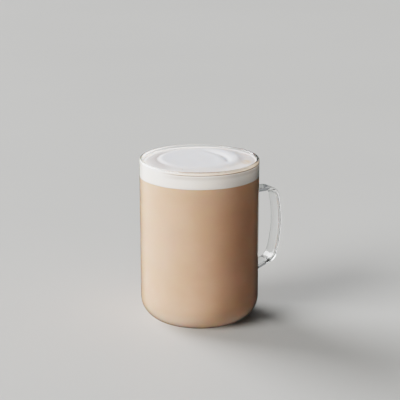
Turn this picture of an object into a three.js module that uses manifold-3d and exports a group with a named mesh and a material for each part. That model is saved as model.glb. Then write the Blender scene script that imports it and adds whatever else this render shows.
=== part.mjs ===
// A chai latte in a clear glass mug: the straight glass mug with its flat strap handle, the spiced
// milk drink that fills it, and the layer of milk foam on top. Millimetres, +Z up. The origin is
// the middle of the mug's flat base, and the handle points along +X.
import * as THREE from 'three';
import { mergeVertices } from 'three/addons/utils/BufferGeometryUtils.js';
import Module from 'manifold-3d';

const wasm = await Module();
wasm.setup();

// Mug
const MUG_RADIUS = 41.6;
const MUG_HEIGHT = 115;
const WALL = 2.2;
const BASE_THICKNESS = 3.4;
const BASE_CORNER = 15.5;
const FLOOR_CORNER = 13.5;

// Steps round the mug, round each corner and the rim, in each weld and round the edge of the strap,
// and rings in the foam
const ROUND_STEPS = 72;
const CORNER_STEPS = 8;
const RIM_STEPS = 6;
const WELD_STEPS = 4;
const EDGE_STEPS = 3;
const FOAM_RINGS = 22;

// Strap handle, measured along the middle of its thickness. Each arc has the heading that it leaves
// in, in degrees above +X.
const STRAP_WIDTH = 11;
const STRAP_THICKNESS = 2.8;
const STRAP_EDGE = 1.1;
const TOP_LEG_HEIGHT = 85.7;
const TOP_LEG_DROP = 0.3;
const TOP_LEG_LENGTH = 14.7;
const UPPER_CORNER = { radius: 8.7, leaves: -76, steps: 12 };
const OUTER_BOW = { radius: 75.4, leaves: -109.4, steps: 14 };
const LOWER_CORNER = { radius: 7.4, leaves: -162.4, steps: 10 };
const WELD_LENGTH = 6;
const WELD_THICKENING = 1;
const WELD_WIDENING = 0.22;

// Drink and foam. The foam lies lowest at the wall, and its raised middle is a little off the axis.
const CLEARANCE = 0.3;
const DRINK_LEVEL = 102.8;
const FOAM_EDGE = 112.8;
const FOAM_RING = 113.3;
const FOAM_PLATEAU = 114.1;
const RING_RADIUS = 36.5;
const PLATEAU_CENTRE = { x: 2.5, y: 3.7 };
const PLATEAU_RADIUS = 25.5;
const PLATEAU_FOOT = 32.5;

// Long waves in the foam's top, each an arc round a centre: the fold of the last poured foam on the
// handle's side, with its lip, its crease, its ridge and a low bank outside the lip, a valley round
// the plateau on the side away from the handle, and a shoulder of the ring on that side. A wave's
// middle lies at its bearing, in degrees from +X, and it fades out over its half spread.
const FOLD = { centre: { x: -14, y: 5 }, bearing: -6, spread: 40 };
const WAVES = [
  { ...FOLD, radius: 40.4, width: 4.6, height: 0.8 },
  { ...FOLD, radius: 34.2, width: 1.8, height: -0.8 },
  { ...FOLD, radius: 28.5, width: 2.6, height: 0.25 },
  { ...FOLD, radius: 47.5, width: 3.5, height: 0.35 },
  { centre: PLATEAU_CENTRE, bearing: 140, spread: 60, radius: 29, width: 1.7, height: -0.6 },
  { centre: { x: 0, y: 0 }, bearing: -160, spread: 75, radius: 31, width: 5, height: 0.45 },
];

const radians = (degrees) => THREE.MathUtils.degToRad(degrees);
const smooth = (value, from, to) => THREE.MathUtils.smoothstep(value, from, to);

// Points along a round stretch of a profile, both ends included
function arc(centreX, centreY, radius, fromDegrees, toDegrees, steps) {
  return Array.from({ length: steps + 1 }, (_, index) => {
    const angle = radians(fromDegrees + ((toDegrees - fromDegrees) * index) / steps);
    return new THREE.Vector2(centreX + radius * Math.cos(angle), centreY + radius * Math.sin(angle));
  });
}

// Solid turned about the Z axis
function turned(profile) {
  return new THREE.LatheGeometry(profile, ROUND_STEPS).rotateX(Math.PI / 2);
}

// Closed body of a geometry, with its shared corners merged and its empty triangles left out
function solidOf(geometry) {
  const bare = geometry.clone();
  bare.deleteAttribute('normal');
  bare.deleteAttribute('uv');
  const merged = mergeVertices(bare, 1e-4);
  const corners = Array.from(merged.index.array);
  const kept = [];
  for (let start = 0; start < corners.length; start += 3) {
    const [a, b, c] = corners.slice(start, start + 3);
    if (a !== b && b !== c && c !== a) kept.push(a, b, c);
  }
  return new wasm.Manifold(new wasm.Mesh({
    numProp: 3,
    vertProperties: new Float32Array(merged.attributes.position.array),
    triVerts: new Uint32Array(kept),
  }));
}

function geometryOf(solid) {
  const mesh = solid.getMesh();
  const geometry = new THREE.BufferGeometry();
  geometry.setAttribute('position', new THREE.BufferAttribute(mesh.vertProperties, 3));
  geometry.setIndex(new THREE.BufferAttribute(mesh.triVerts, 1));
  geometry.computeVertexNormals();
  return geometry;
}

// Cup: flat base, round corner, straight side, full round rim, and the inside down to the floor
function cupGeometry() {
  const rim = WALL / 2;
  const base = MUG_RADIUS - BASE_CORNER;
  const floor = MUG_RADIUS - WALL - FLOOR_CORNER;
  return turned([
    new THREE.Vector2(0, 0),
    ...arc(base, BASE_CORNER, BASE_CORNER, -90, 0, CORNER_STEPS),
    ...arc(MUG_RADIUS - rim, MUG_HEIGHT - rim, rim, 0, 180, RIM_STEPS),
    ...arc(floor, BASE_THICKNESS + FLOOR_CORNER, FLOOR_CORNER, 0, -90, CORNER_STEPS),
    new THREE.Vector2(0, BASE_THICKNESS),
  ]);
}

// How near the wall a point of the strap is, from 0 where the weld ends to 1 at the wall
function nearWall(x) {
  return 1 - smooth(x, MUG_RADIUS, MUG_RADIUS + WELD_LENGTH);
}

// Direction of a heading in the strap's own plane, in degrees above +X
function along(heading) {
  return new THREE.Vector2(Math.cos(radians(heading)), Math.sin(radians(heading)));
}

// Stations from inside the wall to the end of the weld, on the leg that passes through a point with
// a heading
function weldStations(through, heading) {
  const inWall = MUG_RADIUS - WALL / 2;
  const spacing = (MUG_RADIUS + WELD_LENGTH - inWall) / WELD_STEPS;
  return Array.from({ length: WELD_STEPS + 1 }, (_, step) => {
    const x = inWall + spacing * step;
    const rise = (x - through.x) * Math.tan(radians(heading));
    return { point: new THREE.Vector2(x, through.y + rise), heading };
  });
}

// Middle line of the strap: out of the wall, clockwise round the upper corner, the bow and the lower
// corner without a kink, and back into the wall
function strapStations() {
  let heading = -TOP_LEG_DROP;
  const point = new THREE.Vector2(MUG_RADIUS, TOP_LEG_HEIGHT);
  const stations = weldStations(point, heading);
  point.addScaledVector(along(heading), TOP_LEG_LENGTH);
  stations.push({ point: point.clone(), heading });
  for (const { radius, leaves, steps } of [UPPER_CORNER, OUTER_BOW, LOWER_CORNER]) {
    const centre = point.clone().addScaledVector(along(heading + 90), -radius);
    for (let step = 1; step <= steps; step += 1) {
      const turning = heading + ((leaves - heading) * step) / steps;
      point.copy(centre).addScaledVector(along(turning + 90), radius);
      stations.push({ point: point.clone(), heading: turning });
    }
    heading = leaves;
  }
  return [...stations, ...weldStations(point, heading).reverse()];
}

// Outline of the strap seen from the side, thicker where its ends are fused to the wall
function strapOutline() {
  const outside = [];
  const inside = [];
  for (const { point, heading } of strapStations()) {
    const half = STRAP_THICKNESS / 2 + WELD_THICKENING * nearWall(point.x) ** 2;
    outside.push(point.clone().addScaledVector(along(heading + 90), half));
    inside.push(point.clone().addScaledVector(along(heading + 90), -half));
  }
  return new THREE.Shape([...outside, ...inside.reverse()]);
}

// Flat strap with rounded edges, a little wider where its ends meet the wall
function strapGeometry() {
  const geometry = new THREE.ExtrudeGeometry(strapOutline(), {
    depth: STRAP_WIDTH - 2 * STRAP_EDGE,
    bevelEnabled: true,
    bevelThickness: STRAP_EDGE,
    bevelSize: STRAP_EDGE,
    bevelOffset: -STRAP_EDGE,
    bevelSegments: EDGE_STEPS,
  });
  geometry.translate(0, 0, STRAP_EDGE - STRAP_WIDTH / 2);
  geometry.rotateX(Math.PI / 2);
  const place = geometry.attributes.position;
  for (let index = 0; index < place.count; index += 1) {
    const widening = 1 + WELD_WIDENING * nearWall(place.getX(index)) ** 2;
    place.setY(index, place.getY(index) * widening);
  }
  return geometry;
}

// The mug is one piece of glass: its handle's ends are fused into the wall, and stop inside it
function mugGeometry() {
  return geometryOf(solidOf(cupGeometry()).add(solidOf(strapGeometry())));
}

// Drink: fills the inside of the mug from the floor up to the foam
function drinkGeometry() {
  const radius = MUG_RADIUS - WALL - CLEARANCE;
  const floor = BASE_THICKNESS + CLEARANCE;
  const corner = FLOOR_CORNER - CLEARANCE;
  const top = DRINK_LEVEL - CLEARANCE / 2;
  return turned([
    new THREE.Vector2(0, floor),
    ...arc(radius - corner, floor + corner, corner, -90, 0, CORNER_STEPS),
    new THREE.Vector2(radius, top),
    new THREE.Vector2(0, top),
  ]);
}

// Rise or fall of a wave at a point of the foam's top
function waveHeight(x, y, { centre, bearing, spread, radius, width, height }) {
  const [across, along] = [x - centre.x, y - centre.y];
  const turn = THREE.MathUtils.radToDeg(Math.atan2(along, across)) - bearing;
  const off = Math.abs(THREE.MathUtils.euclideanModulo(turn + 180, 360) - 180);
  const fade = 1 - smooth(off, spread / 2, spread);
  return fade * height * Math.exp(-(((Math.hypot(across, along) - radius) / width) ** 2));
}

// Height of the foam's top: the ring at the wall, the plateau with its soft slope, and the waves
function foamHeight(x, y) {
  const toWall = smooth(Math.hypot(x, y), RING_RADIUS, MUG_RADIUS - WALL);
  const offCentre = Math.hypot(x - PLATEAU_CENTRE.x, y - PLATEAU_CENTRE.y);
  const onPlateau = 1 - smooth(offCentre, PLATEAU_RADIUS, PLATEAU_FOOT);
  const ground = FOAM_RING
    + (FOAM_EDGE - FOAM_RING) * toWall
    + (FOAM_PLATEAU - FOAM_RING) * onPlateau;
  return WAVES.reduce((height, wave) => height + waveHeight(x, y, wave), ground);
}

// Foam: a flat underside on the drink and a top with its relief
function foamGeometry() {
  const radius = MUG_RADIUS - WALL - CLEARANCE;
  const underside = DRINK_LEVEL + CLEARANCE / 2;
  const rings = Array.from({ length: FOAM_RINGS + 1 }, (_, ring) => radius * (1 - ring / FOAM_RINGS));
  const geometry = turned([
    new THREE.Vector2(0, underside),
    new THREE.Vector2(radius, underside),
    ...rings.map((distance) => new THREE.Vector2(distance, FOAM_EDGE)),
  ]);
  const place = geometry.attributes.position;
  for (let index = 0; index < place.count; index += 1) {
    if (place.getZ(index) > underside + CLEARANCE) {
      place.setZ(index, foamHeight(place.getX(index), place.getY(index)));
    }
  }
  return geometry;
}

function piece(name, geometry, finish) {
  const mesh = new THREE.Mesh(geometry, new THREE.MeshStandardMaterial(finish));
  mesh.name = name;
  return mesh;
}

const group = new THREE.Group();
group.add(
  piece('glass_mug', mugGeometry(), {
    color: 0xe3ecea, roughness: 0.03, metalness: 0, transparent: true, opacity: 0.35,
  }),
  piece('chai_latte', drinkGeometry(), { color: 0xc6a98c, roughness: 0.45, metalness: 0 }),
  piece('milk_foam', foamGeometry(), { color: 0xe8e4df, roughness: 0.6, metalness: 0 }),
);

export default group;
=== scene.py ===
"""A chai latte in a clear glass mug: the glass with its strap handle, the spiced milk drink, the
milk foam with its fold, the film of drink on the glass, the small bubbles, and a plain studio round
them. Metres, +Z up."""
import math
import random

import bmesh
import bpy
from mathutils import Matrix, Vector, noise


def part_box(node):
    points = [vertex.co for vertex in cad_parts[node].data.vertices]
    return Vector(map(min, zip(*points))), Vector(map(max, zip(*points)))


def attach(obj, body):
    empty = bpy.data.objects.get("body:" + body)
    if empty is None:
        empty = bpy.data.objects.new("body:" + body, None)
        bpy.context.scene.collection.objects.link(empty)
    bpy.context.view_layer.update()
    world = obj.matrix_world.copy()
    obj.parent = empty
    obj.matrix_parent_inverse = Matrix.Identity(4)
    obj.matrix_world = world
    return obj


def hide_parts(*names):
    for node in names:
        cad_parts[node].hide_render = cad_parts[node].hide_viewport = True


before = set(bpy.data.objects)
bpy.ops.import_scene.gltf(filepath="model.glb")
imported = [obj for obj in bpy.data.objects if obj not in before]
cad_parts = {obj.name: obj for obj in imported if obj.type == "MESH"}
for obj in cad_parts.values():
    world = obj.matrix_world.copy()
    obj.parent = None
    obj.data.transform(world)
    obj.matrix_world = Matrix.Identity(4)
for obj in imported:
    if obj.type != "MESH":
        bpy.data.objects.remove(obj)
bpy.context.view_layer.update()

bl_info = {
    "name": "Chai latte in a glass mug",
    "version": (1, 0, 0),
    "blender": (4, 5, 0),
    "location": "3D View > Sidebar > Latte",
    "description": "Makes a chai latte with milk foam in a clear glass mug",
    "category": "Add Mesh",
}

MUG_LOW, MUG_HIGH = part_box("glass_mug")
MM = 0.001
AXIS = Vector((0, 0, 0))
UP = Vector((0, 0, 1))
SIDEWAYS = Vector((0, 1, 0))
MERGE_DISTANCE = 0.001 * MM
SHARP_ANGLE = math.radians(50)
WAVE_SIZES = ("bearing", "spread", "radius", "width", "height")
LIGHT_SETTINGS = ("offset", "height", "spread", "tint", "strength")

# Steps round a corner, over the rim, along the strap's bow and welds, round the strap's edges, and
# round the film and the floor
CORNER_STEPS = 24
RIM_STEPS = 16
BOW_STEPS = 32
WELD_STEPS = 12
STRAP_EDGE_STEPS = 6
FILM_STEPS = 96
FLOOR_STEPS = 96


# Properties

def length(name, description, millimetres):
    return bpy.props.FloatProperty(
        name=name, description=description, default=millimetres * MM, unit="LENGTH", precision=5
    )


def angle(name, description, degrees):
    return bpy.props.FloatProperty(
        name=name, description=description, default=math.radians(degrees), unit="ROTATION"
    )


def amount(name, description, value):
    return bpy.props.FloatProperty(name=name, description=description, default=value)


def count(name, description, value):
    return bpy.props.IntProperty(name=name, description=description, default=value, min=1)


def colour(name, description, red, green, blue):
    return bpy.props.FloatVectorProperty(
        name=name, description=description, default=(red, green, blue), size=3, subtype="COLOR"
    )


class MugSizes(bpy.types.PropertyGroup):
    """The glass cup"""

    radius: length("Radius", "Outer radius of the cup", MUG_HIGH.y / MM)
    height: length("Height", "Height of the rim", MUG_HIGH.z / MM)
    wall: length("Wall", "Thickness of the wall", 2.2)
    base_thickness: length("Base", "Thickness of the glass under the drink", 3.4)
    base_corner: length("Base corner", "Radius of the round outer bottom corner", 15.5)
    floor_corner: length("Floor corner", "Radius of the round inner bottom corner", 13.5)
    round_steps: count("Steps", "Steps round the mug", 192)


class StrapSizes(bpy.types.PropertyGroup):
    """The flat strap handle, measured along the middle of its thickness"""

    width: length("Width", "Width of the strap", 11)
    thickness: length("Thickness", "Thickness of the strap", 2.8)
    edge: length("Edge", "Radius of the strap's rounded edges", 1.25)
    sinks: length("Sinks", "How deep the ends are fused into the wall", 1.5)
    top_height: length("Top height", "Height of the top leg at the wall", 85.7)
    top_drop: angle("Top drop", "How much the top leg falls outwards", 0.3)
    top_length: length("Top length", "Length of the straight top leg", 14.7)
    upper_radius: length("Upper corner", "Radius of the upper corner", 8.7)
    upper_heading: angle("Below upper corner", "Fall of the strap below the upper corner", 76)
    bow_radius: length("Bow", "Radius of the long bow", 75.4)
    bow_heading: angle("Below the bow", "Fall of the strap at the end of the bow", 109.4)
    lower_radius: length("Lower corner", "Radius of the lower corner", 7.4)
    lower_heading: angle("Lower leg", "Fall of the strap along the lower leg", 162.4)
    weld_length: length("Weld", "Length over which the ends flare", 6)
    weld_thickening: length("Weld thickening", "Growth of half the thickness at the wall", 1)
    weld_widening: amount("Weld widening", "Growth of the width at the wall, as a share", 0.22)


class FoamSizes(bpy.types.PropertyGroup):
    """The drink's level, and the foam's outer ring, raised middle, valley and shoulder"""

    into_wall: length("Into the wall", "How far drink and foam reach into the glass", 0.15)
    drink_level: length("Drink level", "Height where the foam starts", 102.8)
    edge: length("Edge", "Height of the foam at the wall", 112.8)
    ring: length("Ring", "Height of the outer ring", 113.3)
    ring_radius: length("Ring radius", "Where the ring starts to fall to the wall", 36.5)
    plateau: length("Plateau", "Height of the raised middle", 114.1)
    plateau_x: length("Plateau X", "Middle of the plateau along X", 2.5)
    plateau_y: length("Plateau Y", "Middle of the plateau along Y", 3.7)
    plateau_radius: length("Plateau radius", "Radius of the level top of the plateau", 25.5)
    plateau_foot: length("Plateau foot", "Radius of the foot of the plateau's slope", 32.5)
    valley_bearing: angle("Valley bearing", "Angle of the valley's middle round the plateau", 140)
    valley_spread: angle("Valley spread", "Angle over which the valley fades out", 60)
    valley_radius: length("Valley radius", "Distance of the valley from the plateau's middle", 29)
    valley_width: length("Valley width", "Half width of the valley", 1.7)
    valley_height: length("Valley height", "Rise of the valley, below nought", -0.6)
    shoulder_bearing: angle("Shoulder bearing", "Angle of the ring's shoulder round the axis", -160)
    shoulder_spread: angle("Shoulder spread", "Angle over which the shoulder fades out", 75)
    shoulder_radius: length("Shoulder radius", "Distance of the shoulder from the axis", 31)
    shoulder_width: length("Shoulder width", "Half width of the shoulder", 5)
    shoulder_height: length("Shoulder height", "Rise of the shoulder", 0.45)
    meniscus: length("Meniscus", "How far the foam climbs the glass", 0.7)
    meniscus_width: length("Meniscus width", "Width of the foam that climbs the glass", 0.8)
    lift: length("Lift", "Height of the foam's underside above the drink", 0.01)
    uneven_height: length("Unevenness", "Height of the foam's slow unevenness", 0.12)
    uneven_size: length("Uneven size", "Size of a swelling of that unevenness", 9)
    ring_step: length("Ring step", "Distance between the rings of the foam's mesh", 0.5)
    round_steps: count("Steps", "Steps round the foam", 256)


class FoldSizes(bpy.types.PropertyGroup):
    """The fold that the last poured foam left near the edge of the plateau"""

    centre_x: length("Centre X", "Centre that the fold curves round, along X", -14)
    centre_y: length("Centre Y", "Centre that the fold curves round, along Y", 5)
    bearing: angle("Bearing", "Angle of the fold's middle round its centre", -6)
    spread: angle("Spread", "Angle to each side over which the fold fades out", 40)
    lip_radius: length("Lip radius", "Distance of the lip from the centre", 40.4)
    lip_width: length("Lip width", "Half width of the lip", 4.6)
    lip_height: length("Lip height", "Rise of the lip", 0.8)
    crease_radius: length("Crease radius", "Distance of the crease from the centre", 34.2)
    crease_width: length("Crease width", "Half width of the crease", 1.8)
    crease_height: length("Crease height", "Rise of the crease, below nought", -0.8)
    ridge_radius: length("Ridge radius", "Distance of the ridge from the centre", 28.5)
    ridge_width: length("Ridge width", "Half width of the ridge", 2.6)
    ridge_height: length("Ridge height", "Rise of the ridge", 0.25)
    bank_radius: length("Bank radius", "Distance of the bank outside the lip from the centre", 47.5)
    bank_width: length("Bank width", "Half width of the bank", 3.5)
    bank_height: length("Bank height", "Rise of the bank", 0.35)


class FilmSizes(bpy.types.PropertyGroup):
    """The film of drink that stuck to the inside of the glass above the foam"""

    bearing: angle("Bearing", "Angle of the film's middle round the mug", -90)
    sweep: angle("Sweep", "Angle that the film covers", 136)
    low: length("Low edge", "Height of the film's low edge", 112.5)
    high: length("High edge", "Height of the film's high edge", 114.1)
    thickness: length("Thickness", "Thickness of the film", 0.1)
    sinks: length("Sinks", "How far the film reaches into the glass", 0.05)
    line: length("Line", "Width of the darker line along each edge", 0.2)
    faded: length("Faded", "Where the film has faded out, measured along its bearing", 15)
    full: length("Full", "Where the film is full, measured along its bearing", 30)
    cover: amount("Cover", "How much the film hides where it is full", 0.85)


class BubbleSizes(bpy.types.PropertyGroup):
    """Small bubbles on the foam"""

    number: count("Number", "How many bubbles there are", 60)
    seed: count("Seed", "Start of the random draw", 4)
    smallest: length("Smallest", "Radius of the smallest bubble", 0.12)
    largest: length("Largest", "Radius of the largest bubble", 0.6)
    strays: length("Strays", "Mean distance of the bubbles from the glass", 2.5)
    bearing: angle("Bearing", "Direction in which most bubbles lie", -150)
    scatter: angle("Scatter", "How widely the bubbles spread round that direction", 70)
    stands: amount("Stands", "Height of a bubble's middle above the foam, in radii", 0.2)
    subdivisions: count("Subdivisions", "Subdivisions of a bubble's surface", 2)


class DrinkShades(bpy.types.PropertyGroup):
    """Heights at which the drink's colour changes"""

    pale_start: length("Pale start", "Height where the drink starts to turn paler", 98)
    pale_full: length("Pale full", "Height where it is pale, just under the foam", 103)
    pale_share: amount("Pale share", "How much of the pale colour it takes there", 0.5)
    base_start: length("Base start", "Height below which the glow of the base starts", 15)
    base_full: length("Base full", "Height below which the glow is full", 4)


class FoamMarks(bpy.types.PropertyGroup):
    """Places of the foam's colours, of the marks that the drink left on it, and of the painted shade in
    the hollow and along the glass
    """

    warm_start: length("Warm start", "Distance from the plateau's middle where foam turns warm", 24)
    warm_full: length("Warm full", "Distance from the plateau's middle where foam is warm", 33)
    rosy_start: length("Rosy start", "Place along X where foam turns rosy", 26)
    rosy_full: length("Rosy full", "Place along X where foam is rosy", 36)
    hollow_bearing: angle("Hollow bearing", "Direction of the hollow", 150)
    hollow_faded: length("Hollow faded", "Where it has faded out, measured along its bearing", 18)
    hollow_body: length("Hollow body", "Where it is full, measured along its bearing", 28)
    hollow_start: length("Hollow start", "Distance from the plateau's middle where it starts", 29)
    hollow_full: length("Hollow full", "Distance from the plateau's middle where it is full", 30.5)
    hollow_fades: length("Hollow fades", "Distance from the axis where it starts to fade", 33)
    hollow_end: length("Hollow end", "Distance from the axis where it ends", 37.5)
    ring_bearing: angle("Ring bearing", "Direction in which the ring and the lines are full", -90)
    ring_faded: length("Ring faded", "Where they have faded out, measured along that bearing", 8)
    ring_body: length("Ring body", "Where they are full, measured along that bearing", 26)
    ring_start: length("Ring start", "Distance from the axis where the ring starts", 38.3)
    ring_full: length("Ring full", "Distance from the axis where the ring is full", 39.2)
    ring_depth: length("Ring depth", "How far the ring reaches below the foam's edge", 0.5)
    wet_depth: length("Wet depth", "Depth below the edge where the side is wet through", 1.5)
    line_top: length("Line top", "Depth of the thin line's top below the foam's edge", 0.2)
    line_bottom: length("Line bottom", "Depth of the thin line's bottom", 0.55)
    line_fade: length("Line fade", "Height over which the thin line fades out", 0.35)
    stripe_top: length("Stripe top", "Depth of the broad stripe's top below the foam's edge", 1.8)
    stripe_bottom: length("Stripe bottom", "Depth of the broad stripe's bottom", 2.5)
    stripe_top_fade: length("Stripe top fade", "Height over which its top fades out", 0.6)
    stripe_bottom_fade: length("Stripe bottom fade", "Height over which its bottom fades out", 2)
    stripe_share: amount("Stripe share", "How strong the broad stripe is", 0.22)
    stain_x: length("Stain X", "Middle of the stain along X", 24)
    stain_y: length("Stain Y", "Middle of the stain along Y", -22.5)
    stain_turn: angle("Stain turn", "Direction of the stain's short side", -45.26)
    stain_shape: amount("Stain shape", "Short side of the stain as a share of its long side", 0.6)
    stain_core: length("Stain core", "Half its short side where the stain is full", 1.5)
    stain_edge: length("Stain edge", "Half its short side where it has faded out", 4.8)


class Finishes(bpy.types.PropertyGroup):
    """Colours, as linear light"""

    glass: colour("Glass", "Tint of the glass", 0.97, 0.99, 0.985)
    # Painted shade: the glass is darkened where it is seen edge-on, for the dark edges that glass shows,
    # partly the tint of thick glass
    glass_edge_shade: colour("Glass edge", "Tint of the glass where it is seen edge-on", 0.32, 0.38, 0.36)
    glass_shade: colour("Glass shade", "Tint of the light that the glass lets through", 0.96, 0.97, 0.97)
    drink: colour("Drink", "Spiced milk", 0.56, 0.39, 0.29)
    drink_pale: colour("Pale drink", "Drink with more milk in it", 0.6, 0.42, 0.32)
    drink_base: colour("Drink at the base", "Drink lit through the thick base", 0.8, 0.63, 0.51)
    foam: colour("Foam", "Milk foam", 0.82, 0.825, 0.87)
    foam_warm: colour("Warm foam", "Foam with some drink in it", 0.85, 0.79, 0.755)
    # Painted shade: grey foam in the hollow round the plateau, where shade falls
    hollow_shade: colour("Hollow", "Thin foam in the hollow round the plateau", 0.7, 0.655, 0.65)
    foam_side: colour("Wet foam", "Foam wet with drink, against the glass", 0.82, 0.78, 0.74)
    wall_ring: colour("Ring at the wall", "Drink that climbed between foam and glass", 0.88, 0.74, 0.64)
    # Painted shade: dark lines along the foam's side where it meets the glass
    line_shade: colour("Tide line", "Lines of drink between the foam's side and the glass", 0.18, 0.12, 0.08)
    film: colour("Film", "Milky film on the glass above the foam", 0.9, 0.78, 0.68)
    # Painted shade: the darker lines at the film's edges stand for the dark line that the rim's lip
    # shows
    film_edge_shade: colour("Film edge", "Dried edges of the film", 0.4, 0.25, 0.17)
    foam_rosy: colour("Rosy foam", "Foam with spiced tea in it", 0.88, 0.76, 0.74)
    stain: colour("Stain", "Drink that came up through the foam", 0.76, 0.59, 0.44)
    floor: colour("Floor", "The studio floor", 0.55, 0.55, 0.54)


class Studio(bpy.types.PropertyGroup):
    """Camera, floor and lights; a light's offset is how far left of the camera it stands"""

    azimuth: angle("Azimuth", "Direction that the camera looks from", -33)
    pitch: angle("Pitch", "How far the camera looks down", 15.73)
    distance: length("Distance", "From the camera to the point it looks at", 908.7)
    aim_right: length("Aim right", "How far right of the mug's axis the camera looks", 0.4)
    aim_height: length("Aim height", "Height that the camera looks at", 84.67)
    lens: amount("Lens", "Focal length in millimetres", 117)
    sensor: amount("Sensor", "Width of the sensor in millimetres", 36)
    nearest: length("Nearest", "Nearest distance that the camera shows", 10)
    floor_radius: length("Floor radius", "Radius of the round floor", 5000)
    key_strength: amount("Key", "Strength of the large soft light on the left", 2.4)
    key_offset: angle("Key offset", "Offset of the key light", 56)
    key_height: angle("Key height", "Angle of the key light above the floor", 28)
    key_spread: angle("Key spread", "How large the key light looks from the mug", 35)
    key_tint: colour("Key tint", "Colour of the key light", 1, 0.985, 0.96)
    top_strength: amount("Top", "Strength of the cool soft light overhead", 0.15)
    top_offset: angle("Top offset", "Offset of the top light", 0)
    top_height: angle("Top height", "Angle of the top light above the floor", 82)
    top_spread: angle("Top spread", "How large the top light looks from the mug", 60)
    top_tint: colour("Top tint", "Colour of the top light", 0.93, 0.96, 1)
    edge_strength: amount("Edge", "Strength of the soft light behind the left side", 3.3)
    edge_offset: angle("Edge offset", "Offset of the edge light", 128)
    edge_height: angle("Edge height", "Angle of the edge light above the floor", 24)
    edge_spread: angle("Edge spread", "How large the edge light looks from the mug", 40)
    edge_tint: colour("Edge tint", "Colour of the edge light", 1, 1, 1)
    front_strength: amount("Front", "Strength of the soft light beside the camera", 0.2)
    front_offset: angle("Front offset", "Offset of the front light", 5)
    front_height: angle("Front height", "Angle of the front light above the floor", 18)
    front_spread: angle("Front spread", "How large the front light looks from the mug", 50)
    front_tint: colour("Front tint", "Colour of the front light", 1, 0.98, 0.95)
    sky: amount("Sky", "Strength of the even light all round", 0.08)
    sky_tint: colour("Sky tint", "Colour of the even light all round", 0.9, 0.92, 0.95)
    walls: amount("Walls", "Brightness of the studio's walls, seen through the glass", 0.25)


# Drawing with bmesh

def start_profile(mesh, place):
    """Starts a profile in the XZ plane with one point"""
    return bmesh.ops.create_vert(mesh, co=place)["vert"][0]


def line_to(mesh, point, place):
    """Draws a straight stretch of a profile and returns its last point"""
    end = bmesh.ops.extrude_vert_indiv(mesh, verts=[point])["verts"][0]
    bmesh.ops.translate(mesh, verts=[end], vec=Vector(place) - end.co)
    return end


def arc_round(mesh, point, centre, degrees, steps):
    """Draws a round stretch of a profile, counter-clockwise seen from -Y, and returns its end"""
    turned = bmesh.ops.spin(
        mesh, geom=[point], cent=centre, axis=-SIDEWAYS, angle=math.radians(degrees), steps=steps
    )
    return next(part for part in turned["geom_last"] if isinstance(part, bmesh.types.BMVert))


def turn_profile(mesh, steps):
    """Turns the whole profile about the mug's axis into a closed shape with outward faces"""
    bmesh.ops.spin(
        mesh, geom=mesh.verts[:] + mesh.edges[:], cent=AXIS, axis=UP,
        angle=math.tau, steps=steps, use_merge=True,
    )
    bmesh.ops.remove_doubles(mesh, verts=mesh.verts[:], dist=MERGE_DISTANCE)
    bmesh.ops.recalc_face_normals(mesh, faces=mesh.faces[:])


def smooth_step(value, start, end):
    part = min(max((value - start) / (end - start), 0), 1)
    return part * part * (3 - 2 * part)


def finished(mesh, name, material, node=None):
    """Makes the object of a piece, hangs it on the root, and hides the part that it stands for"""
    if not mesh.faces:
        raise RuntimeError(f"{name} has no faces")
    data = bpy.data.meshes.new(name)
    mesh.to_mesh(data)
    mesh.free()
    data.materials.append(material)
    data.shade_smooth()
    data.set_sharp_from_angle(angle=SHARP_ANGLE)
    piece = bpy.data.objects.new(name, data)
    bpy.context.scene.collection.objects.link(piece)
    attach(piece, "root")
    if node:
        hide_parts(node)
    return piece


# Materials

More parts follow.
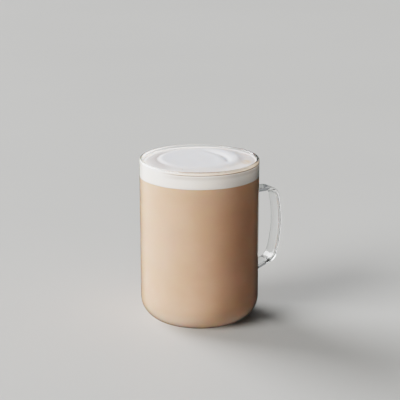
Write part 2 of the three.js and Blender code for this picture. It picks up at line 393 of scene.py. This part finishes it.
class Nodes:
    """Short calls for building one material's nodes"""

    def __init__(self, name):
        self.material = bpy.data.materials.new(name)
        self.material.use_nodes = True
        self.tree = self.material.node_tree
        self.tree.nodes.clear()
        self.place = self.add("ShaderNodeTexCoord").outputs["Object"]

    def add(self, kind, settings=None, **inputs):
        node = self.tree.nodes.new(kind)
        for key, value in (settings or {}).items():
            setattr(node, key, value)
        for key, value in inputs.items():
            self.put(node.inputs[key.replace("_", " ")], value)
        return node

    def put(self, socket, value):
        if isinstance(value, bpy.types.NodeSocket):
            self.tree.links.new(value, socket)
        elif socket.type == "RGBA" and len(value) == 3:
            socket.default_value = (*value, 1)
        else:
            socket.default_value = value

    def noise(self, scale, detail=2.0):
        """Noise with a scale in features per metre"""
        texture = self.add("ShaderNodeTexNoise", Vector=self.place, Scale=scale, Detail=detail)
        return texture.outputs["Fac"]

    def ramp(self, value, start, end, low=0.0, high=1.0):
        """Maps a value between start and end smoothly to low and high"""
        node = self.add("ShaderNodeMapRange", {"interpolation_type": "SMOOTHSTEP"}, Value=value)
        for key, number in zip(("From Min", "From Max", "To Min", "To Max"), (start, end, low, high)):
            node.inputs[key].default_value = number
        return node.outputs["Result"]

    def mix(self, factor, first, second):
        node = self.add("ShaderNodeMix", {"data_type": "RGBA"})
        self.put(node.inputs[0], factor)
        self.put(node.inputs[6], first)
        self.put(node.inputs[7], second)
        return node.outputs[2]

    def math(self, operation, first, second):
        node = self.add("ShaderNodeMath", {"operation": operation})
        self.put(node.inputs[0], first)
        self.put(node.inputs[1], second)
        return node.outputs[0]

    def towards(self, bearing):
        """How far a place lies from the mug's axis in the direction of a bearing"""
        node = self.add("ShaderNodeVectorMath", {"operation": "DOT_PRODUCT"})
        self.put(node.inputs[0], self.place)
        self.put(node.inputs[1], (math.cos(bearing), math.sin(bearing), 0))
        return node.outputs["Value"]

    def times(self, product, *factors):
        """Product of two or more values"""
        for factor in factors:
            product = self.math("MULTIPLY", product, factor)
        return product

    def band(self, value, low, high, low_fade, high_fade, strength=1.0):
        """Strength between a low and a high value, fading to nought on each side"""
        rising = self.ramp(value, low - low_fade, low)
        return self.times(rising, self.ramp(value, high + high_fade, high, 0.0, strength))

    def distance(self, x, y, squeeze=1.0, turn=0.0):
        """Level distance from a place, with the distance across a turned direction squeezed"""
        offset = self.add("ShaderNodeVectorMath", {"operation": "SUBTRACT"})
        self.put(offset.inputs[0], self.place)
        self.put(offset.inputs[1], (x, y, 0))
        turned = self.add("ShaderNodeVectorRotate", {"rotation_type": "Z_AXIS"}, Angle=-turn)
        self.put(turned.inputs["Vector"], offset.outputs[0])
        scaled = self.add("ShaderNodeVectorMath", {"operation": "MULTIPLY"})
        self.put(scaled.inputs[0], turned.outputs[0])
        self.put(scaled.inputs[1], (1, squeeze, 0))
        span = self.add("ShaderNodeVectorMath", {"operation": "LENGTH"})
        self.put(span.inputs[0], scaled.outputs[0])
        return span.outputs["Value"]

    def bump(self, height, strength, distance):
        node = self.add("ShaderNodeBump", Height=height, Strength=strength, Distance=distance)
        return node.outputs["Normal"]

    def output(self, shader):
        self.add("ShaderNodeOutputMaterial", Surface=shader)
        return self.material


def glass_material(finishes):
    """Clear glass that lets the lights through to what is in it, with a faint hand-made ripple and
    painted shade where it is seen edge-on
    """
    nodes = Nodes("clear_glass")
    tint = nodes.mix(nodes.noise(scale=40), finishes.glass, (1, 1, 1))
    # Painted shade: the glass darkens towards where it is seen edge-on, partly the tint of thick glass
    facing = nodes.add("ShaderNodeLayerWeight", Blend=0.5).outputs["Facing"]
    tint = nodes.mix(nodes.ramp(facing, 0.55, 0.95), tint, finishes.glass_edge_shade)
    ripple = nodes.bump(nodes.noise(scale=60, detail=1), strength=0.05, distance=0.2 * MM)
    shader = nodes.add(
        "ShaderNodeBsdfPrincipled", Base_Color=tint, Roughness=0.0, IOR=1.47,
        Transmission_Weight=1.0, Normal=ripple,
    )
    clear = nodes.add("ShaderNodeBsdfTransparent", Color=finishes.glass_shade)
    rays = nodes.add("ShaderNodeLightPath")
    both = nodes.add("ShaderNodeMixShader", Fac=rays.outputs["Is Shadow Ray"])
    nodes.put(both.inputs[1], shader.outputs[0])
    nodes.put(both.inputs[2], clear.outputs[0])
    return nodes.output(both.outputs[0])


def drink_material(finishes, shades):
    """Milky spiced tea: cloudy, a little paler under the foam and in the glow of the glass base"""
    nodes = Nodes("spiced_milk")
    height = nodes.add("ShaderNodeSeparateXYZ", Vector=nodes.place).outputs["Z"]
    cloud = nodes.ramp(nodes.noise(scale=45, detail=3), 0.35, 0.7)
    colour = nodes.mix(cloud, finishes.drink, finishes.drink_pale)
    under_foam = nodes.ramp(height, shades.pale_start, shades.pale_full)
    colour = nodes.mix(nodes.times(under_foam, shades.pale_share), colour, finishes.drink_pale)
    near_base = nodes.ramp(height, shades.base_start, shades.base_full)
    colour = nodes.mix(near_base, colour, finishes.drink_base)
    shader = nodes.add(
        "ShaderNodeBsdfPrincipled", Base_Color=colour, Roughness=0.4, Specular_IOR_Level=0.1,
        Subsurface_Weight=1.0, Subsurface_Radius=(1.0, 0.5, 0.3), Subsurface_Scale=2.5 * MM,
    )
    return nodes.output(shader.outputs[0])


def foam_colour(nodes, finishes, foam, marks):
    """Foam without the drink's marks: cool on the plateau, warmer round it, with grey painted shade in
    the hollow
    """
    from_plateau = nodes.distance(foam.plateau_x, foam.plateau_y)
    patchy = nodes.ramp(nodes.noise(scale=70, detail=3), 0.3, 0.7, low=0.6, high=1.0)
    warm = nodes.times(nodes.ramp(from_plateau, marks.warm_start, marks.warm_full), patchy)
    colour = nodes.mix(warm, finishes.foam, finishes.foam_warm)
    # Painted shade: grey in the hollow round the plateau
    hollow_shade_mask = nodes.times(
        nodes.ramp(from_plateau, marks.hollow_start, marks.hollow_full),
        nodes.ramp(nodes.distance(0, 0), marks.hollow_end, marks.hollow_fades),
        nodes.ramp(nodes.towards(marks.hollow_bearing), marks.hollow_faded, marks.hollow_body),
    )
    return nodes.mix(hollow_shade_mask, colour, finishes.hollow_shade)


def shade_lines(nodes, marks, edge, height):
    """Painted shade: the thin line and the broad stripe along the foam's side, where it meets the glass
    """
    line = nodes.band(
        height, edge - marks.line_bottom, edge - marks.line_top, marks.line_fade, marks.line_fade
    )
    stripe = nodes.band(
        height, edge - marks.stripe_bottom, edge - marks.stripe_top,
        marks.stripe_bottom_fade, marks.stripe_top_fade, marks.stripe_share,
    )
    return nodes.math("MAXIMUM", line, stripe)


def foam_material(finishes, foam, marks):
    """Fine milk foam with the marks of the drink, a ring at the glass and one stain, and painted shade
    lines where its side meets the glass
    """
    nodes = Nodes("milk_foam")
    across = nodes.add("ShaderNodeSeparateXYZ", Vector=nodes.place)
    height = across.outputs["Z"]
    colour = foam_colour(nodes, finishes, foam, marks)
    wet = nodes.ramp(height, foam.edge, foam.edge - marks.wet_depth)
    colour = nodes.mix(wet, colour, finishes.foam_side)
    at_wall = nodes.times(
        nodes.ramp(nodes.distance(0, 0), marks.ring_start, marks.ring_full),
        nodes.ramp(nodes.towards(marks.ring_bearing), marks.ring_faded, marks.ring_body),
    )
    # Painted shade: dark lines where the foam's side meets the glass
    line_shade = shade_lines(nodes, marks, foam.edge, height)
    colour = nodes.mix(nodes.times(at_wall, line_shade), colour, finishes.line_shade)
    on_top = nodes.ramp(height, foam.edge - marks.ring_depth, foam.edge)
    colour = nodes.mix(nodes.times(at_wall, on_top), colour, finishes.wall_ring)
    to_the_right = nodes.ramp(across.outputs["X"], marks.rosy_start, marks.rosy_full)
    rosy = nodes.times(to_the_right, nodes.ramp(nodes.noise(scale=160), 0.4, 0.6))
    colour = nodes.mix(rosy, colour, finishes.foam_rosy)
    from_stain = nodes.distance(marks.stain_x, marks.stain_y, marks.stain_shape, marks.stain_turn)
    stained = nodes.times(
        nodes.ramp(from_stain, marks.stain_edge, marks.stain_core),
        nodes.ramp(nodes.noise(scale=450, detail=3), 0.3, 0.6, low=0.3, high=1.0),
    )
    colour = nodes.mix(stained, colour, finishes.stain)
    fine = nodes.bump(nodes.noise(scale=2500), strength=0.15, distance=0.1 * MM)
    shader = nodes.add(
        "ShaderNodeBsdfPrincipled", Base_Color=colour, Roughness=0.5, Specular_IOR_Level=0.25,
        Subsurface_Weight=1.0, Subsurface_Radius=(1.0, 0.9, 0.8), Subsurface_Scale=1.5 * MM,
        Normal=fine,
    )
    return nodes.output(shader.outputs[0])


def film_material(finishes, film):
    """Dried milky film: a tan line of painted shade at each edge, paler between, and thinning out to its
    ends
    """
    nodes = Nodes("wall_film")
    height = nodes.add("ShaderNodeSeparateXYZ", Vector=nodes.place).outputs["Z"]
    # Painted shade: a darker line at each edge of the film
    low_line = nodes.ramp(height, film.low + 2 * film.line, film.low + film.line)
    high_line = nodes.ramp(height, film.high - 2 * film.line, film.high - film.line)
    at_edge = nodes.math("MAXIMUM", low_line, high_line)
    colour = nodes.mix(at_edge, finishes.film, finishes.film_edge_shade)
    strength = nodes.times(
        nodes.ramp(nodes.towards(film.bearing), film.faded, film.full, high=film.cover),
        nodes.ramp(nodes.noise(scale=120, detail=3), 0.25, 0.6, low=0.5, high=1.0),
    )
    shader = nodes.add("ShaderNodeBsdfPrincipled", Base_Color=colour, Roughness=0.4, Alpha=strength)
    return nodes.output(shader.outputs[0])


def bubble_material(finishes):
    """Wet, glossy skin of a bubble, a little uneven in tint"""
    nodes = Nodes("bubble_skin")
    colour = nodes.mix(nodes.noise(scale=300), finishes.foam, finishes.foam_warm)
    shader = nodes.add(
        "ShaderNodeBsdfPrincipled", Base_Color=colour, Roughness=0.12, IOR=1.33, Coat_Weight=0.6,
        Coat_Roughness=0.05,
    )
    return nodes.output(shader.outputs[0])


def floor_material(finishes):
    """Plain pale floor with a trace of unevenness"""
    nodes = Nodes("pale_floor")
    uneven = nodes.ramp(nodes.noise(scale=3, detail=4), 0.3, 0.7)
    darker = tuple(part * 0.98 for part in finishes.floor)
    colour = nodes.mix(uneven, finishes.floor, darker)
    shader = nodes.add("ShaderNodeBsdfPrincipled", Base_Color=colour, Roughness=0.6)
    return nodes.output(shader.outputs[0])


# Glass mug

def cup_shape(mug):
    """The cup: flat base, round corner, straight side, full round rim, inside down to the floor"""
    mesh = bmesh.new()
    rim = mug.wall / 2
    base = mug.radius - mug.base_corner
    floor = mug.radius - mug.wall - mug.floor_corner
    point = start_profile(mesh, AXIS)
    point = line_to(mesh, point, (base, 0, 0))
    point = arc_round(mesh, point, (base, 0, mug.base_corner), 90, CORNER_STEPS)
    point = line_to(mesh, point, (mug.radius, 0, mug.height - rim))
    point = arc_round(mesh, point, (mug.radius - rim, 0, mug.height - rim), 180, RIM_STEPS)
    floor_side = mug.base_thickness + mug.floor_corner
    point = line_to(mesh, point, (floor + mug.floor_corner, 0, floor_side))
    point = arc_round(mesh, point, (floor, 0, floor_side), -90, CORNER_STEPS)
    line_to(mesh, point, (0, 0, mug.base_thickness))
    turn_profile(mesh, mug.round_steps)
    return mesh


def strap_section(mesh, strap):
    """The strap's cross-section: a rectangle with rounded corners, facing along +X"""
    bmesh.ops.create_grid(mesh, x_segments=1, y_segments=1, size=0.5)
    bmesh.ops.scale(mesh, verts=mesh.verts[:], vec=(strap.width, strap.thickness, 1))
    bmesh.ops.bevel(
        mesh, geom=mesh.verts[:], offset=strap.edge, affect="VERTICES", segments=STRAP_EDGE_STEPS,
        profile=0.5, material=-1,
    )
    across = Matrix(((0, 0, 1), (1, 0, 0), (0, 1, 0)))
    bmesh.ops.rotate(mesh, verts=mesh.verts[:], cent=AXIS, matrix=across)
    mesh.faces.ensure_lookup_table()
    return mesh.faces[0]


def move_section(mesh, face, heading, step, widen, thicken):
    """Draws the strap on from a section, moved along its heading and scaled about its middle"""
    drawn = bmesh.ops.extrude_face_region(mesh, geom=[face])["geom"]
    new_face = next(part for part in drawn if isinstance(part, bmesh.types.BMFace))
    middle = Matrix.Translation(new_face.calc_center_median())
    level = Matrix.Rotation(heading, 4, SIDEWAYS)
    forward = Matrix.Translation((math.cos(heading) * step, 0, -math.sin(heading) * step))
    size = Matrix.Diagonal((1, widen, thicken, 1))
    bmesh.ops.transform(
        mesh, verts=new_face.verts[:],
        matrix=forward @ middle @ level @ size @ level.inverted() @ middle.inverted(),
    )
    return new_face


def turn_section(mesh, face, heading, radius, until, steps):
    """Draws the strap on round a corner, clockwise seen from -Y"""
    middle = face.calc_center_median()
    inwards = Vector((-math.sin(heading), 0, -math.cos(heading)))
    turned = bmesh.ops.spin(
        mesh, geom=[face, *face.edges, *face.verts], cent=middle + inwards * radius,
        axis=SIDEWAYS, angle=until - heading, steps=steps,
    )
    return next(part for part in turned["geom_last"] if isinstance(part, bmesh.types.BMFace))


def strap_shape(mug, strap):
    """The strap handle as one closed shape, with its ends inside the wall"""
    mesh = bmesh.new()
    face = strap_section(mesh, strap)

    def flare(x):
        near = (1 - smooth_step(x, mug.radius, mug.radius + strap.weld_length)) ** 2
        return 1 + strap.weld_widening * near, 1 + 2 * strap.weld_thickening * near / strap.thickness

    def along_leg(face, heading, stations):
        for x, next_x in zip(stations, stations[1:]):
            ratios = [new / old for new, old in zip(flare(next_x), flare(x))]
            face = move_section(mesh, face, heading, (next_x - x) / math.cos(heading), *ratios)
        return face

    in_wall = mug.radius - strap.sinks
    weld_end = mug.radius + strap.weld_length
    spacing = (weld_end - in_wall) / WELD_STEPS
    stations = [in_wall + spacing * step for step in range(WELD_STEPS + 1)]
    start = Vector((in_wall, 0, strap.top_height + strap.sinks * math.tan(strap.top_drop)))
    wide, thick = flare(in_wall)
    bmesh.ops.scale(mesh, verts=face.verts[:], vec=(1, wide, thick))
    bmesh.ops.rotate(
        mesh, verts=face.verts[:], cent=AXIS, matrix=Matrix.Rotation(strap.top_drop, 3, SIDEWAYS)
    )
    bmesh.ops.translate(mesh, verts=face.verts[:], vec=start)
    corner = mug.radius + strap.top_length * math.cos(strap.top_drop)
    face = along_leg(face, strap.top_drop, [*stations, corner])
    heading = strap.top_drop
    for radius, until, steps in (
        (strap.upper_radius, strap.upper_heading, CORNER_STEPS),
        (strap.bow_radius, strap.bow_heading, BOW_STEPS),
        (strap.lower_radius, strap.lower_heading, CORNER_STEPS),
    ):
        face = turn_section(mesh, face, heading, radius, until, steps)
        heading = until
    corner = face.calc_center_median().x
    along_leg(face, strap.lower_heading, [corner, *reversed(stations)])
    bmesh.ops.recalc_face_normals(mesh, faces=mesh.faces[:])
    return mesh


def fuse(piece, other):
    """Joins another shape to a piece as one solid, and removes the other"""
    joint = piece.modifiers.new("fused", "BOOLEAN")
    joint.operation = "UNION"
    joint.object = other
    joint.solver = "EXACT"
    scene = bpy.context.evaluated_depsgraph_get()
    fused = bpy.data.meshes.new_from_object(piece.evaluated_get(scene))
    old = piece.data
    name = old.name
    piece.modifiers.clear()
    piece.data = fused
    bpy.data.objects.remove(other)
    bpy.data.meshes.remove(old)
    fused.name = name


class GlassMug(bpy.types.Operator):
    """Makes the glass mug: one piece of glass, the cup with its strap handle fused on"""

    bl_idname = "latte.glass_mug"
    bl_label = "Glass mug"

    def execute(self, context):
        scene = context.scene
        mesh = strap_shape(scene.latte_mug, scene.latte_strap)
        strap_data = bpy.data.meshes.new("strap")
        mesh.to_mesh(strap_data)
        mesh.free()
        strap = bpy.data.objects.new("strap", strap_data)
        scene.collection.objects.link(strap)
        glass = glass_material(scene.latte_finishes)
        mug = finished(
            cup_shape(scene.latte_mug), "clear_mug", glass, "glass_mug"
        )
        strap_data.materials.append(glass)
        fuse(mug, strap)
        mug.data.shade_smooth()
        mug.data.set_sharp_from_angle(angle=SHARP_ANGLE)
        return {"FINISHED"}


# Drink

class SpicedDrink(bpy.types.Operator):
    """Makes the drink, which fills the mug up to the foam and reaches just into the glass"""

    bl_idname = "latte.drink"
    bl_label = "Spiced milk drink"

    def execute(self, context):
        scene = context.scene
        mug, foam = scene.latte_mug, scene.latte_foam
        mesh = bmesh.new()
        side = mug.radius - mug.wall + foam.into_wall
        floor = mug.base_thickness - foam.into_wall
        corner = mug.floor_corner + foam.into_wall
        point = start_profile(mesh, (0, 0, floor))
        point = line_to(mesh, point, (side - corner, 0, floor))
        point = arc_round(mesh, point, (side - corner, 0, floor + corner), 90, CORNER_STEPS)
        point = line_to(mesh, point, (side, 0, foam.drink_level))
        line_to(mesh, point, (0, 0, foam.drink_level))
        turn_profile(mesh, mug.round_steps)
        milk = drink_material(scene.latte_finishes, scene.latte_shades)
        finished(mesh, "spiced_drink", milk, "chai_latte")
        return {"FINISHED"}


# Foam

def wave(place, centre, bearing, spread, radius, width, height):
    """Rise of a long rounded wave round a centre, which fades out over its half spread"""
    offset = place - centre
    off = abs((math.atan2(offset.y, offset.x) - bearing + math.pi) % math.tau - math.pi)
    fade = 1 - smooth_step(off, spread / 2, spread)
    return fade * height * math.exp(-(((offset.length - radius) / width) ** 2))


def foam_height(mug, foam, fold, place):
    """Height of the foam's top: ring at the wall, plateau, valley, shoulder and fold"""
    middle = Vector((foam.plateau_x, foam.plateau_y))
    wall = mug.radius - mug.wall
    to_wall = smooth_step(place.length, foam.ring_radius, wall)
    on_plateau = 1 - smooth_step(
        (place - middle).length, foam.plateau_radius, foam.plateau_foot
    )
    height = foam.ring + (foam.edge - foam.ring) * to_wall + (foam.plateau - foam.ring) * on_plateau
    height += foam.meniscus * smooth_step(place.length, wall - foam.meniscus_width, wall)
    for part, around in (("valley", middle), ("shoulder", Vector((0, 0)))):
        height += wave(place, around, *(getattr(foam, f"{part}_{size}") for size in WAVE_SIZES))
    centre = Vector((fold.centre_x, fold.centre_y))
    for part in ("lip", "crease", "ridge", "bank"):
        sizes = [getattr(fold, f"{part}_{size}") for size in WAVE_SIZES[2:]]
        height += wave(place, centre, fold.bearing, fold.spread, *sizes)
    return height


class MilkFoam(bpy.types.Operator):
    """Makes the milk foam with its plateau, valley, shoulder, outer ring and fold"""

    bl_idname = "latte.foam"
    bl_label = "Milk foam"

    def execute(self, context):
        scene = context.scene
        mug, foam, fold = scene.latte_mug, scene.latte_foam, scene.latte_fold
        mesh = bmesh.new()
        side = mug.radius - mug.wall + foam.into_wall
        underside = foam.drink_level + foam.lift
        point = start_profile(mesh, (0, 0, underside))
        point = line_to(mesh, point, (side, 0, underside))
        rings = round(side / foam.ring_step)
        for ring in range(rings + 1):
            point = line_to(mesh, point, (side * (1 - ring / rings), 0, foam.edge))
        turn_profile(mesh, foam.round_steps)
        for vert in mesh.verts:
            if vert.co.z > underside + MM:
                vert.co.z = foam_height(mug, foam, fold, vert.co.xy)
                vert.co.z += foam.uneven_height * noise.noise(vert.co / foam.uneven_size)
        white = foam_material(scene.latte_finishes, foam, scene.latte_marks)
        finished(mesh, "foam_top", white, "milk_foam")
        return {"FINISHED"}


# Film on the glass

class WallFilm(bpy.types.Operator):
    """Makes the thin film of drink on the inside of the glass, just above the foam"""

    bl_idname = "latte.film"
    bl_label = "Film on the glass"

    def execute(self, context):
        scene = context.scene
        mug, film = scene.latte_mug, scene.latte_film
        outside = mug.radius - mug.wall + film.sinks
        mesh = bmesh.new()
        point = start_profile(mesh, (outside, 0, film.low))
        point = line_to(mesh, point, (outside, 0, film.high))
        point = line_to(mesh, point, (outside - film.thickness, 0, film.high))
        point = line_to(mesh, point, (outside - film.thickness, 0, film.low))
        bmesh.ops.contextual_create(mesh, geom=mesh.verts[:])
        bmesh.ops.rotate(
            mesh, verts=mesh.verts[:], cent=AXIS,
            matrix=Matrix.Rotation(film.bearing - film.sweep / 2, 3, "Z"),
        )
        bmesh.ops.spin(
            mesh, geom=mesh.faces[:] + mesh.edges[:] + mesh.verts[:], cent=AXIS, axis=UP,
            angle=film.sweep, steps=FILM_STEPS,
        )
        bmesh.ops.recalc_face_normals(mesh, faces=mesh.faces[:])
        finished(mesh, "wall_film", film_material(scene.latte_finishes, film))
        return {"FINISHED"}


# Bubbles

class Bubbles(bpy.types.Operator):
    """Scatters small bubbles over the foam, most of them near the glass"""

    bl_idname = "latte.bubbles"
    bl_label = "Bubbles"

    def execute(self, context):
        scene = context.scene
        mug, foam, fold = scene.latte_mug, scene.latte_foam, scene.latte_fold
        bubbles = scene.latte_bubbles
        draw = random.Random(bubbles.seed)
        wall = mug.radius - mug.wall
        mesh = bmesh.new()
        for _ in range(bubbles.number):
            radius = draw.triangular(bubbles.smallest, bubbles.largest, bubbles.smallest)
            bearing = draw.gauss(bubbles.bearing, bubbles.scatter)
            distance = wall - radius - draw.expovariate(1 / bubbles.strays)
            place = Vector((math.cos(bearing), math.sin(bearing))) * distance
            height = foam_height(mug, foam, fold, place) + bubbles.stands * radius
            bmesh.ops.create_icosphere(
                mesh, subdivisions=bubbles.subdivisions, radius=radius,
                matrix=Matrix.Translation((place.x, place.y, height)),
            )
        finished(mesh, "bubbles", bubble_material(scene.latte_finishes))
        return {"FINISHED"}


# Studio

def seen_from(azimuth, elevation, distance, aim):
    """Place of a camera or light that looks at a point from an azimuth and elevation"""
    level = math.cos(elevation)
    back = Vector((math.sin(azimuth) * level, -math.cos(azimuth) * level, math.sin(elevation)))
    return Matrix.LocRotScale(aim + back * distance, back.to_track_quat("Z", "Y"), None)


def soft_light(studio, name):
    """An even soft light from far off, with the studio's settings of that name"""
    offset, height, spread, tint, strength = (
        getattr(studio, f"{name}_{setting}") for setting in LIGHT_SETTINGS
    )
    light = bpy.data.lights.new(name, "SUN")
    light.angle = spread
    light.energy = strength
    light.color = tint
    lamp = bpy.data.objects.new(name, light)
    lamp.matrix_world = seen_from(studio.azimuth - offset, height, 1, AXIS)
    bpy.context.scene.collection.objects.link(lamp)
    return lamp


def make_camera(studio):
    """The camera, which looks at a point beside the mug's axis"""
    right = Vector((math.cos(studio.azimuth), math.sin(studio.azimuth), 0))
    aim = right * studio.aim_right + UP * studio.aim_height
    lens = bpy.data.cameras.new("camera")
    lens.sensor_width = studio.sensor
    lens.lens = studio.lens
    lens.clip_start = studio.nearest
    camera = bpy.data.objects.new("camera", lens)
    camera.matrix_world = seen_from(studio.azimuth, studio.pitch, studio.distance, aim)
    bpy.context.scene.collection.objects.link(camera)
    bpy.context.scene.camera = camera


def make_floor(studio, finishes):
    """The round pale floor, which the glass doesn't mirror"""
    mesh = bmesh.new()
    bmesh.ops.create_circle(mesh, cap_ends=True, segments=FLOOR_STEPS, radius=studio.floor_radius)
    data = bpy.data.meshes.new("floor")
    mesh.to_mesh(data)
    mesh.free()
    data.materials.append(floor_material(finishes))
    floor = bpy.data.objects.new("floor", data)
    bpy.context.scene.collection.objects.link(floor)
    floor.visible_glossy = False


def make_world(studio):
    """The even light all round, brighter where it is seen through the glass"""
    world = bpy.data.worlds.new("studio")
    world.use_nodes = True
    nodes, links = world.node_tree.nodes, world.node_tree.links
    background = nodes["Background"]
    background.inputs["Color"].default_value = (*studio.sky_tint, 1)
    rays = nodes.new("ShaderNodeLightPath")
    seen = nodes.new("ShaderNodeMapRange")
    seen.inputs["To Min"].default_value = studio.sky
    seen.inputs["To Max"].default_value = studio.walls
    links.new(rays.outputs["Is Transmission Ray"], seen.inputs["Value"])
    links.new(seen.outputs["Result"], background.inputs["Strength"])
    bpy.context.scene.world = world


class StudioSet(bpy.types.Operator):
    """Makes the pale floor, the soft lights and the camera"""

    bl_idname = "latte.studio"
    bl_label = "Studio"

    def execute(self, context):
        scene = context.scene
        studio = scene.latte_studio
        make_camera(studio)
        make_floor(studio, scene.latte_finishes)
        for name in ("key", "top", "edge"):
            soft_light(studio, name)
        soft_light(studio, "front").visible_glossy = False
        make_world(studio)
        scene.view_settings.view_transform = "Filmic"
        scene.view_settings.look = "Very High Contrast"
        return {"FINISHED"}


class LattePanel(bpy.types.Panel):
    """Lists the pieces of the latte in the 3D view's sidebar"""

    bl_idname = "VIEW3D_PT_latte"
    bl_label = "Latte"
    bl_space_type = "VIEW_3D"
    bl_region_type = "UI"
    bl_category = "Latte"

    def draw(self, context):
        for operator in OPERATORS:
            self.layout.operator(operator.bl_idname)
        for name, group in GROUPS.items():
            box = self.layout.box()
            box.label(text=group.__doc__)
            for key in group.__annotations__:
                box.prop(getattr(context.scene, name), key)


GROUPS = {
    "latte_mug": MugSizes,
    "latte_strap": StrapSizes,
    "latte_foam": FoamSizes,
    "latte_fold": FoldSizes,
    "latte_film": FilmSizes,
    "latte_bubbles": BubbleSizes,
    "latte_shades": DrinkShades,
    "latte_marks": FoamMarks,
    "latte_finishes": Finishes,
    "latte_studio": Studio,
}
OPERATORS = (GlassMug, SpicedDrink, MilkFoam, WallFilm, Bubbles, StudioSet)


def register():
    for item in (*GROUPS.values(), *OPERATORS, LattePanel):
        bpy.utils.register_class(item)
    for name, group in GROUPS.items():
        setattr(bpy.types.Scene, name, bpy.props.PointerProperty(type=group))


def unregister():
    for name in GROUPS:
        delattr(bpy.types.Scene, name)
    for item in (LattePanel, *reversed(OPERATORS), *reversed(GROUPS.values())):
        bpy.utils.unregister_class(item)


def main():
    register()
    bpy.ops.latte.glass_mug()
    bpy.ops.latte.drink()
    bpy.ops.latte.foam()
    bpy.ops.latte.film()
    bpy.ops.latte.bubbles()
    bpy.ops.latte.studio()


if __name__ == "__main__":
    main()
